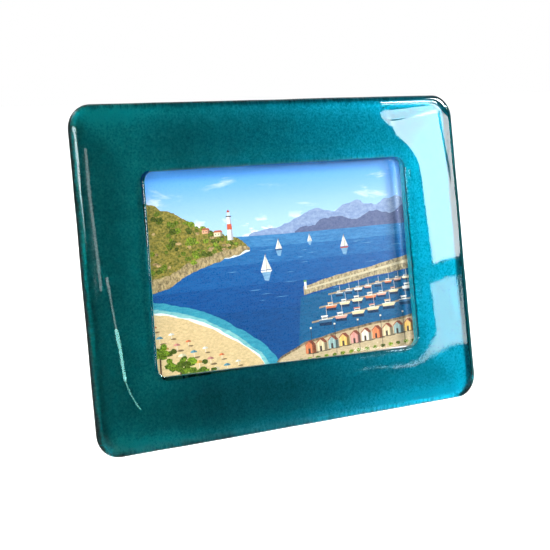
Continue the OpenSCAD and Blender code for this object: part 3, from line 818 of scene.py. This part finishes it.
def draw_motorboat(view, x, y, long, hull, canopy):
    """A moored boat seen from its side, with a cabin and a dark reflection."""
    view.part(x, y, long, long, ((0, 0), (0.92, 0), (0.9, -0.2), (0.04, -0.18)), (16, 50, 86))
    view.part(x, y, long, long, ((0.06, 0), (0.86, 0), (1, 0.16), (0, 0.16)), hull)
    deck = y + long * 0.16
    view.part(x, deck, long, 0.3, ((0, 0), (1, 0), (0.98, 1), (0.1 / long, 1)), (236, 232, 222))
    roof = deck + 0.3
    view.block(x + long * 0.22, roof, long * 0.4, long * 0.15, (228, 226, 220))
    view.block(x + long * 0.27, roof + long * 0.04, long * 0.3, long * 0.07, (50, 62, 78))
    view.block(x + long * 0.18, roof + long * 0.15, long * 0.48, long * 0.07, canopy)
    view.line(x + long * 0.6, roof, x + long * 0.58, roof + long * 0.75, 0.2, (214, 208, 196))


def draw_harbour(view):
    """A long stone breakwater, and boats moored at jetties in front of it."""
    outer = view.ragged([(86, 38.6), (98, 41.2), (114, 43.6), (132, 46), (156, 49.5)], 0.03)
    inner = view.ragged([(156, 43), (132, 40.4), (114, 38.2), (98, 36.2), (86, 34.4)], 0.03)
    view.add("rock", outer + inner, (190, 176, 146))
    view.add("sand", [(87, 37.6), (156, 47.6), (156, 46.2), (87, 36.8)], (214, 202, 172))
    view.add("sea", [(84, 33.6), (156, 42), (156, 8), (80, 8)], (18, 92, 140))
    view.block(86.6, 37.2, 1.3, 3.6, (240, 238, 230))
    view.block(86.4, 40.8, 1.7, 0.9, (86, 150, 96))
    hulls = [(242, 240, 234), (226, 132, 82), (238, 222, 176)]
    hulls += [(58, 104, 140), (196, 84, 66), (232, 170, 150)]
    canopies = [(206, 112, 70), (234, 226, 204), (88, 132, 160), (222, 180, 120), (236, 236, 232)]
    rise = 0.11
    # Each jetty: where it starts, the boats' spacing and length, and their number
    jetties = ((104, 33.4, 6.0, 5.2, 8), (98, 27.4, 7.8, 6.6, 7), (93, 20.6, 9.8, 8.4, 6))
    for start, base, step, long, count in jetties:
        end = base + (156 - start) * rise
        jetty = [(start - 4, base - 0.5), (156, end - 0.5), (156, end + 0.3), (start - 4, base + 0.3)]
        view.add("sand", jetty, (168, 150, 124))
        for i in range(count):
            x = start + i * step + view.chance.uniform(-0.5, 0.5)
            y = base + (x - start) * rise - 0.9
            hull = hulls[view.chance.randrange(len(hulls))]
            canopy = canopies[view.chance.randrange(len(canopies))]
            size = long * view.chance.uniform(0.85, 1.1)
            draw_motorboat(view, x, y, size, view.varied(hull, 0.06), view.varied(canopy, 0.08))


def draw_parasol(view, x, y, r, tint):
    """A beach parasol in two tones, with its pole and its shade on the ground."""
    view.tuft(x + r * 0.8, y - r * 0.2, r, r * 0.28, (128, 106, 78), "sand", 9)
    view.line(x, y, x + r * 0.05, y + r * 1.5, 0.22, (236, 230, 216))
    foot = y + r * 1.1
    for angles, shade in (((0, 0.6, 1.2, 1.57), 0.78), ((1.57, 2.0, 2.6, math.pi), 1.0)):
        rim = [(x + r * math.cos(a), foot + r * 0.62 * math.sin(a)) for a in angles]
        view.add("plain", rim + [(x, foot)], toned(tint, shade))


def draw_hut(view, x, y, w, h, tint):
    """A gabled beach hut with a door and a shaded side."""
    view.tuft(x + w, y, w * 0.9, 0.5, (104, 88, 70), "sand", 9)
    view.block(x + w, y, w * 0.4, h, toned(tint, 0.56))
    view.part(x, y, w, h, ((0, 0), (1, 0), (1, 1), (0.5, 1.45), (0, 1)), tint)
    for i in (0.2, 0.74):
        view.line(x + w * i, y + 0.1, x + w * i, y + h * 1.1, w * 0.07, toned(tint, 1.25))
    view.block(x + w * 0.36, y, w * 0.28, h * 0.62, (74, 62, 58))
    eaves = 0.3 / w
    view.part(x, y, w, h, ((-eaves, 0.96), (0.5, 1.46), (0.5, 1.62), (-eaves, 1.12)), (172, 96, 70))
    far_slope = ((0.5, 1.46), (1 + eaves, 0.96), (1.42, 1.06), (0.92, 1.62), (0.5, 1.62))
    view.part(x, y, w, h, far_slope, (134, 70, 52))


def draw_beach(view):
    """A sandy cove in front, with turquoise shallows, foam and parasols."""
    shore = [(-2, 35), (10, 32.4), (22, 29), (34, 23.6), (46, 16.4), (57, 8), (64, -2)]
    # How far each strip of the cove reaches out from the sand
    strips = (
        ("sea", 5.5, 4, (52, 150, 176)),
        ("sea", 2.2, 1.6, (122, 190, 196)),
        ("plain", 0.8, 0.7, (240, 244, 242)),
        ("sand", 0, 0, (222, 196, 150)),
    )
    for kind, out, up, tint in strips:
        edge = view.ragged([(x + out, y + up) for x, y in shore], 0.05)
        view.add(kind, edge + [(-2, -2)], tint)
    tints = [(232, 120, 72), (246, 232, 196), (224, 150, 140)]
    tints += [(250, 248, 240), (236, 178, 92), (96, 160, 186)]
    for i in range(17):
        row = i % 3
        x = 4 + (i // 3) * 8.4 + row * 2.3
        y = 25.5 - (i // 3) * 4.1 - row * 5.6
        if y > 1:
            draw_parasol(view, x, y, 1.5 + 0.35 * row, view.varied(tints[(i * 5) % 6], 0.05))


def draw_promenade(view):
    """A paved quay in the right foreground with a row of beach huts, planters and lamp posts."""
    edge = view.ragged([(62, -2), (70, 5), (84, 10.4), (104, 13.4), (128, 15.8), (156, 18)], 0.03)
    view.add("rock", [(x, y + 1.2) for x, y in edge] + [(156, -2)], (150, 132, 108))
    view.add("sand", edge + [(156, -2)], (206, 184, 150))
    tints = [(236, 214, 172), (226, 128, 84), (250, 240, 220)]
    tints += [(214, 150, 140), (232, 184, 104), (150, 178, 176)]
    for i in range(10):
        tint = view.varied(tints[(i * 5 + 1) % 6], 0.05)
        draw_hut(view, 84 + i * 6.7, 5.6 + i * 0.5, 4.3, 3.9, tint)
    for i in range(16):
        view.tuft(76 + i * 4.9, 2.6 + i * 0.16, 1.5, 0.9, view.varied((96, 116, 38), 0.3))
    for i in range(5):
        x = 88 + i * 14
        view.line(x, 3.6, x, 17.5 + i * 0.6, 0.28, (52, 50, 52))
        view.block(x - 0.5, 17.5 + i * 0.6, 1.0, 0.8, (244, 234, 206))


def draw_pines(view):
    """Pine crowns in the lower left corner."""
    for x, y, tall in ((5, -4, 19), (15, -6, 15), (24, -8, 13)):
        view.line(x, y, x + 0.8, y + tall, 0.9, (86, 62, 44))
        for _ in range(26):
            dx = view.chance.gauss(0, 3.6)
            dy = view.chance.gauss(0, 1.9)
            view.tuft(x + 0.8 + dx, y + tall + dy, 1.9, 1.3, view.varied((84, 108, 34), 0.35))


def draw_picture():
    """The whole view, from the horizon to the foreground."""
    view = Picture(PICTURE_SEED)
    draw_far_shore(view)
    draw_sea(view)
    draw_headland(view)
    draw_cottage(view, 39.4, 66.6, 3.4, 1.9, (240, 226, 196), (190, 98, 66))
    draw_cottage(view, 33.2, 68.4, 3.0, 1.7, (232, 176, 140), (172, 92, 66))
    draw_lighthouse(view, 48.0, 64.4)
    draw_sailboat(view, 74, 57.4, 5.6, (44, 70, 110))
    draw_sailboat(view, 92, 60.4, 3.8, (236, 232, 226))
    draw_sailboat(view, 66, 47.5, 8.6, (240, 238, 232))
    draw_sailboat(view, 112, 55.5, 6.8, (190, 84, 62))
    draw_harbour(view)
    draw_beach(view)
    draw_promenade(view)
    draw_pines(view)
    return view.shapes


# How near two points of the picture count as one, when it is cut into faces
CUT_PRECISION = 1e-8


def outer_loop(faces):
    """The corners round the outside of flat faces, in order."""
    rim = {}
    for face in faces:
        for a, b in zip(face, face[1:] + face[:1]):
            if (b, a) in rim:
                del rim[(b, a)]
            else:
                rim[(a, b)] = True
    following = dict(rim.keys())
    around = [next(iter(following))]
    while following[around[-1]] != around[0]:
        around.append(following[around[-1]])
    return around


def build_print(front, back):
    """The print: its picture cut into faces that share their edges, on a sheet of paper."""
    shapes = draw_picture()
    points = []
    loops = []
    for _, outline, _ in shapes:
        loops.append(list(range(len(points), len(points) + len(outline))))
        points += [Vector(((x - PRINT_W / 2) * MM, (y - PRINT_H / 2) * MM)) for x, y in outline]
    flat, _, faces, _, _, origins = geometry.delaunay_2d_cdt(points, [], loops, 1, CUT_PRECISION)
    kept = [(face, max(owners)) for face, owners in zip(faces, origins) if 0 in owners]
    used = sorted({corner for face, _ in kept for corner in face})
    number = {corner: i for i, corner in enumerate(used)}
    vertices = [Vector((*flat[corner], front)) for corner in used]
    all_faces = [[number[corner] for corner in face] for face, _ in kept]
    around = outer_loop(all_faces)
    low = len(vertices)
    vertices += [Vector((vertices[i].x, vertices[i].y, back)) for i in around]
    for i, here in enumerate(around):
        beside = (i + 1) % len(around)
        all_faces.append([around[beside], here, low + i, low + beside])
    all_faces.append([low + i for i in reversed(range(len(around)))])
    sheet = mesh_object("print_sheet", vertices, all_faces, PANEL, smooth=False)
    sheet.data.materials.append(picture_sky())
    for kind, settings in PICTURE_KINDS.items():
        sheet.data.materials.append(picture_ink(kind, *settings))
    kinds = ["sky", *PICTURE_KINDS]
    layer = sheet.data.color_attributes.new("tint", "FLOAT_COLOR", "CORNER")
    for face in sheet.data.polygons:
        kind, tint = "plain", (1.0, 1.0, 1.0)
        if face.index < len(kept):
            kind, _, tint = shapes[kept[face.index][1]]
        face.material_index = kinds.index(kind)
        for corner in face.loop_indices:
            layer.data[corner].color = (*tint, 1.0)
    return sheet


# The stay ribbon, as in the CAD source: its route from the side, as height and depth in the picture's plane
HINGE_RISE = 34 * MM
HINGE_DEPTH = -9.05 * MM
LEG_OPEN = math.radians(22)
LEG_FRONT = 1.6 * MM
VELVET_DEPTH = -7.1 * MM
STAY_W = 10 * MM
STAY_T = 0.5 * MM
STAY_GAP = 0.3 * MM
STAY_DROP_BOARD = 52 * MM
STAY_DROP_LEG = 62 * MM
TAB_L = 9 * MM
# The woven ribbon's own thickness, its bends, the steps along and across it, and its thinner edges
RIBBON_T = 0.42 * MM
BEND_R = 1.6 * MM
BEND_STEPS = 6
RIBBON_STEP = 0.8 * MM
RIBBON_COLUMNS = 12
EDGE_FROM = 0.84
EDGE_SHARE = 0.8


def leg_point(down, off):
    """A point of the side view that is down the open leg from the hinge and off towards its front."""
    return Vector(
        (
            HINGE_RISE - down * math.cos(LEG_OPEN) - off * math.sin(LEG_OPEN),
            HINGE_DEPTH - down * math.sin(LEG_OPEN) + off * math.cos(LEG_OPEN),
        )
    )


def rounded_route(corners):
    """A route through corners, with each inner corner rounded off."""
    route = [corners[0]]
    for before, corner, after in zip(corners, corners[1:], corners[2:]):
        start = corner + (before - corner).normalized() * BEND_R
        end = corner + (after - corner).normalized() * BEND_R
        for step in range(BEND_STEPS + 1):
            t = step / BEND_STEPS
            route.append(start * (1 - t) ** 2 + corner * 2 * t * (1 - t) + end * t * t)
    route.append(corners[-1])
    return route


def build_ribbon():
    """The woven stay between the back and the leg, taut while the leg is open."""
    tab_off = LEG_FRONT + STAY_GAP + STAY_T / 2
    tab_depth = VELVET_DEPTH - STAY_T / 2
    corners = [
        Vector((HINGE_RISE - STAY_DROP_BOARD + TAB_L, tab_depth)),
        Vector((HINGE_RISE - STAY_DROP_BOARD, tab_depth)),
        leg_point(STAY_DROP_LEG, tab_off),
        leg_point(STAY_DROP_LEG + TAB_L, tab_off),
    ]
    route = rounded_route(corners)
    dense = []
    for a, b in zip(route, route[1:]):
        steps = max(1, round((b - a).length / RIBBON_STEP))
        dense += [a.lerp(b, step / steps) for step in range(steps)]
    dense.append(route[-1])
    section = []
    for i in range(RIBBON_COLUMNS + 1):
        across = 2 * i / RIBBON_COLUMNS - 1
        edge = 1.0 if abs(across) < EDGE_FROM else EDGE_SHARE
        section.append((across * STAY_W / 2, RIBBON_T / 2 * edge))
    outline = section + [(x, -half) for x, half in reversed(section)]
    vertices = []
    for i, point in enumerate(dense):
        ahead = (dense[min(i + 1, len(dense) - 1)] - dense[max(i - 1, 0)]).normalized()
        off = Vector((-ahead.y, ahead.x))
        for x, half in outline:
            place = point + off * half
            vertices.append(Vector((x, place.x, place.y)))
    around = len(outline)
    faces = [list(range(around))]
    faces += [(a, d, c, b) for a, b, c, d in loft_faces(len(dense), around)]
    faces.append([(len(dense) - 1) * around + column for column in reversed(range(around))])
    ribbon = mesh_object("stay_ribbon_woven", vertices, faces, PANEL)
    ribbon.data.materials.append(ribbon_weave())
    length = sum((b - a).length for a, b in zip(dense, dense[1:]))
    bend = [PANEL @ Vector((0, corner.x, corner.y)) for corner in corners[1:3]]
    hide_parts("stay_ribbon")
    tuple(bend[0])
    tuple(bend[1])
    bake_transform(ribbon)


def heading(azimuth, elevation):
    """A direction from the object: azimuth 0 is the viewer's side of the room, positive to the right."""
    a = math.radians(azimuth)
    e = math.radians(elevation)
    return Vector((math.sin(a) * math.cos(e), -math.cos(a) * math.cos(e), math.sin(e)))


# The camera: level, at the photo's angle in degrees and at its distance
CAMERA_AZIMUTH = -30.87
CAMERA_ELEVATION = 10.26
CAMERA_DISTANCE = 621 * MM
CAMERA_AIM = Vector((-6.2 * MM, PANEL_ORIGIN.y, 72.1 * MM))
SENSOR = 36.0
LENS = 84.24


def placed(data, location, turn):
    """An object with camera or lamp data, turned and put in its place."""
    item = bpy.data.objects.new(data.name, data)
    bpy.context.scene.collection.objects.link(item)
    item.location = location
    item.rotation_mode = "QUATERNION"
    item.rotation_quaternion = turn
    return item


def build_camera():
    """The photo's camera."""
    data = bpy.data.cameras.new("camera")
    data.sensor_width = SENSOR
    data.lens = LENS
    back = heading(CAMERA_AZIMUTH, CAMERA_ELEVATION)
    turn = (-back).to_track_quat("-Z", "Y")
    bpy.context.scene.camera = placed(data, CAMERA_AIM + back * CAMERA_DISTANCE, turn)


def area_light(name, centre, size, radiance, turn, colour):
    """A rectangular lamp of a given brightness, unseen by the camera."""
    data = bpy.data.lights.new(name, "AREA")
    data.shape = "RECTANGLE"
    data.size = size[0]
    data.size_y = size[1]
    data.energy = radiance * math.pi * size[0] * size[1]
    data.color = colour
    placed(data, centre, turn).visible_camera = False


# Bright upright panes of the room around the viewer, as edges in degrees seen from the frame's middle
PANE_REACH = 1.5
NEUTRAL = (1.0, 1.0, 1.0)
COOL_SLIT = (0.42, 1.0, 0.90)
# name: azimuths, elevations, the azimuth it faces, radiance
ROOM_PANES = {
    "window_upper": ((39.25, 42.15), (6.4, 15.5), 45.0, 12.5),
    "window_upper_side": ((42.28, 47.5), (6.4, 15.3), 45.0, 12.0),
    "window_top": ((39.4, 44.5), (17.6, 20.2), 45.0, 40.0),
    "window_high": ((52.0, 66.0), (20.0, 38.0), 45.0, 54.0),
    "window_lower": ((38.5, 41.3), (1.1, 5.3), 45.0, 7.2),
    "window_left": ((-85.0, -6.0), (14.3, 27.0), -45.0, 13.0),
    "window_left_low": ((-60.0, -25.0), (12.0, 14.3), -45.0, 8.0),
    "softbox_back": ((200.0, 250.0), (35.0, 55.0), 225.0, 3.0),
}
# Narrow slits of light: both ends as azimuth and elevation, width in degrees, radiance, colour if not neutral
ROOM_SLITS = {
    "slit_high": ((19.2, 8.4), (19.6, 17.2), 0.17, 3.5),
    "slit_middle": ((19.68, 5.6), (19.6, 9.2), 0.10, 5.0),
    "slit_low": ((19.95, 2.6), (19.7, 5.8), 0.36, 14.0, COOL_SLIT),
    "slit_foot": ((20.65, 0.8), (19.98, 2.8), 0.14, 9.0, COOL_SLIT),
    "slit_upper": ((39.2, 15.95), (42.4, 15.55), 0.50, 10.0),
    "slit_corner": ((39.00, 16.2), (39.40, 14.9), 0.40, 9.0),
    "slit_right": ((37.9, 1.50), (38.6, 1.85), 0.80, 6.0),
    "slit_right_middle": ((36.6, 1.50), (37.9, 1.38), 0.32, 6.0),
    "slit_right_end": ((34.4, 1.95), (36.6, 1.62), 0.14, 5.0),
}


def room_pane(name, azimuths, elevations, facing, radiance):
    """One bright upright pane, in a plane square to the direction that it faces."""
    left, right = (PANE_REACH * math.tan(math.radians(a - facing)) for a in azimuths)
    low, high = (PANE_REACH * math.tan(math.radians(e)) for e in elevations)
    outward = heading(facing, 0)
    sideways = heading(facing + 90, 0)
    centre = PANEL_ORIGIN + outward * PANE_REACH + sideways * (left + right) / 2
    centre.z += (low + high) / 2
    turn = (-outward).to_track_quat("-Z", "Y")
    area_light(name, centre, (right - left, high - low), radiance, turn, NEUTRAL)


def room_slit(name, start, end, width, radiance, colour=NEUTRAL):
    """One narrow slit of light between two directions."""
    low, high = (heading(*place) * PANE_REACH for place in (start, end))
    along = (high - low).normalized()
    outward = (low + high).normalized()
    turn = Matrix((along.cross(outward), along, outward)).transposed().to_quaternion()
    size = (PANE_REACH * math.radians(width), (high - low).length)
    area_light(name, PANEL_ORIGIN + (low + high) / 2, size, radiance, turn, colour)


# The dim room in front, the bright backdrop behind it, and how much of that is lost in a mirror image
ROOM_LEVEL = 0.03
BACK_LEVEL = 0.9
BACK_DIMMED = 0.7
# How far back a direction points where the dim room starts to turn into the backdrop, and where it has
BACK_FROM = -0.05
BACK_FULL = 0.15


def build_world():
    """White to the camera, white behind the object, and a dim room in front of it and through the glass."""
    look = Look("studio", bpy.data.worlds, "OutputWorld")
    bpy.context.scene.world = look.owner
    path = look.add("LightPath").outputs
    axes = look.add("SeparateXYZ", {0: look.add("TexCoord").outputs["Generated"]}).outputs
    turned = {"Value": axes["Y"], "From Min": BACK_FROM, "From Max": BACK_FULL, "To Max": BACK_LEVEL}
    behind = look.add("MapRange", turned).outputs["Result"]
    through = look.math("SUBTRACT", 1.0, path["Is Transmission Ray"])
    mirrored = look.math("MULTIPLY_ADD", path["Is Glossy Ray"], -BACK_DIMMED, 1.0)
    lit = look.product(behind, look.product(through, mirrored))
    seen = look.math("MAXIMUM", path["Is Camera Ray"], look.math("ADD", lit, ROOM_LEVEL))
    look.finish(look.add("Background", {"Color": WHITE, "Strength": seen}))


FLOOR_HALF = 3.0


def build_floor():
    """A pale floor that keeps the object's shadow."""
    corners = [(x * FLOOR_HALF, y * FLOOR_HALF, 0) for x, y in ((-1, -1), (1, -1), (1, 1), (-1, 1))]
    floor = mesh_object("floor", corners, [(0, 1, 2, 3)], smooth=False)
    look = Look("pale_floor")
    paint = look.add("BsdfDiffuse", {"Color": (0.8, 0.8, 0.8, 1)})
    dark = look.add("BsdfDiffuse", {"Color": (0.2, 0.2, 0.2, 1)})
    glow = look.add("Emission", {"Color": WHITE, "Strength": 0.75})
    lit = look.add("AddShader", {0: paint, 1: glow})
    for_camera = look.add("LightPath").outputs["Is Camera Ray"]
    floor.data.materials.append(look.finish(look.add("MixShader", {0: for_camera, 1: dark, 2: lit})))


build_camera()
build_world()
build_floor()
for lamp_name, lamp_values in ROOM_PANES.items():
    room_pane(lamp_name, *lamp_values)
for lamp_name, lamp_values in ROOM_SLITS.items():
    room_slit(lamp_name, *lamp_values)

glass = build_glass()
glass.data.materials.append(teal_glass())
glass.data.materials.append(bonded_back())
glass.data.materials.append(window_wall())
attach(glass, "frame")
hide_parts("glass_surround")

picture = build_print(-LEAF_T - PANE_T - PRINT_GAP, -LEAF_T - PANE_T - PRINT_T + PRINT_GAP)
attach(picture, "frame")
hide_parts("photo_print")

build_ribbon()

# How wide the softened edges of each kind of piece are
STRIP_EDGE = 0.5 * MM
LEG_EDGE = 0.25 * MM
BOARD_EDGE = 0.2 * MM
VELVET_EDGE = 0.15 * MM
BUTTON_EDGE = 0.15 * MM
HINGE_EDGE = 0.12 * MM
SCREW_EDGE = 0.1 * MM

dress(metal_leaf(), 0, "silver_leaf")
dress(clear_pane_glass(), 0, "clear_pane")
dress(felt(), 0, "backing_felt")
dress(adhesive(), 0, "adhesive_strips")
level_wood = stained_wood("black_wood_level", (GRAIN_STRETCH, 1.0, 1.0))
upright_wood = stained_wood("black_wood_upright", (1.0, 1.0, GRAIN_STRETCH))
dress(level_wood, STRIP_EDGE, "rebate_top", "rebate_bottom")
dress(upright_wood, STRIP_EDGE, "rebate_left", "rebate_right")
grey_card = fibreboard("grey_card", (0.62, 0.60, 0.55, 1), (0.80, 0.78, 0.72, 1))
hardboard = fibreboard("hardboard", (0.10, 0.065, 0.04, 1), (0.26, 0.17, 0.10, 1))
black_board = fibreboard("black_board", (0.012, 0.012, 0.014, 1), (0.045, 0.044, 0.046, 1))
dress(grey_card, 0, "filler_card")
dress(hardboard, BOARD_EDGE, "back_board")
dress(black_board, LEG_EDGE, "easel_leg")
dress(velvet(), VELVET_EDGE, "back_velvet", "leg_velvet")
dress(nickel("nickel_hinge", 0.4, 0.30), HINGE_EDGE, "hinge_leaf_board", "hinge_leaf_leg", "hinge_pin")
dress(nickel("nickel_rivets", 0.2, 0.24), 0, "hinge_rivets_board", "hinge_rivets_leg")
dress(nickel("nickel_screws", 0.0, 0.28), SCREW_EDGE, "button_screws")
buttons = [node for node in frame["nodes"] if node.startswith("turn_button_")]
dress(nickel("nickel_buttons", 0.7, 0.32), BUTTON_EDGE, *buttons)
dress(staple_wire(), 0, "stay_staple_board", "stay_staple_leg")

bpy.context.scene.view_settings.view_transform = "Standard"
